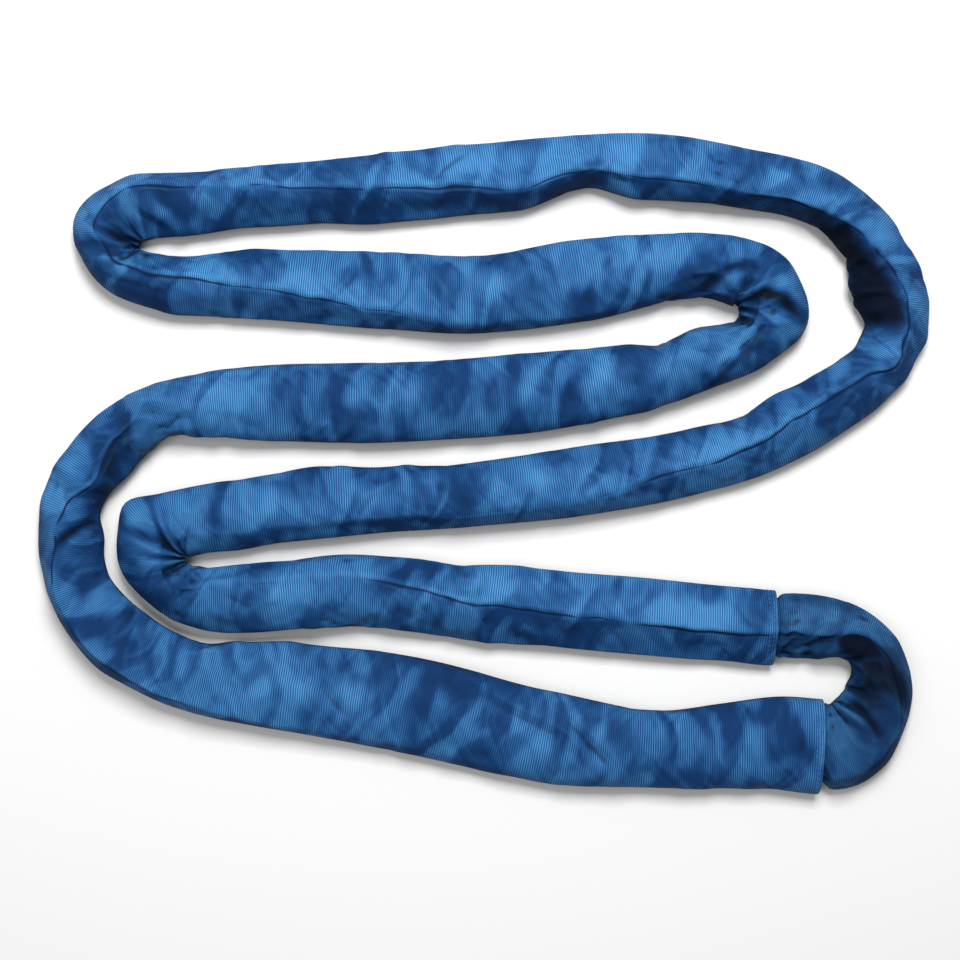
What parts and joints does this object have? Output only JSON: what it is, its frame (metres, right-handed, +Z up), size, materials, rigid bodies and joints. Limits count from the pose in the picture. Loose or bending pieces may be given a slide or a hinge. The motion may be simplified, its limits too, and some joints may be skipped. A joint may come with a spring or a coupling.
{
  "type": "endless round sling",
  "caption": "Endless lifting sling with a woven tubular sleeve over a yarn core, lying flat in a serpentine of narrow bends.",
  "frame": {"origin": "centre of the lying sling's box, on the surface it lies on", "axes": "+X along the serpentine's long legs, +Y across them, +Z up out of the surface"},
  "size_m": [0.7148, 0.5235, 0.036],
  "materials": {
    "sleeve_fabric": "satin",
    "joint_fabric": "satin",
    "core_yarn": "satin",
    "stitch_thread": "matte",
    "tape": "satin"
  },
  "bodies": {
    "root": {"main_sleeve": "sleeve_fabric", "joint_sleeve": "joint_fabric", "core_turn_01": "core_yarn", "core_turn_02": "core_yarn", "core_turn_03": "core_yarn", "core_turn_04": "core_yarn", "core_turn_05": "core_yarn", "core_turn_06": "core_yarn", "core_turn_07": "core_yarn", "core_turn_08": "core_yarn", "core_turn_09": "core_yarn", "core_turn_10": "core_yarn", "core_turn_11": "core_yarn", "core_turn_12": "core_yarn", "core_turn_13": "core_yarn", "stitch_row_a_1": "stitch_thread", "stitch_row_a_2": "stitch_thread", "stitch_row_b_1": "stitch_thread", "stitch_row_b_2": "stitch_thread", "yarn_end_tape": "tape"}
  },
  "joints": []
}
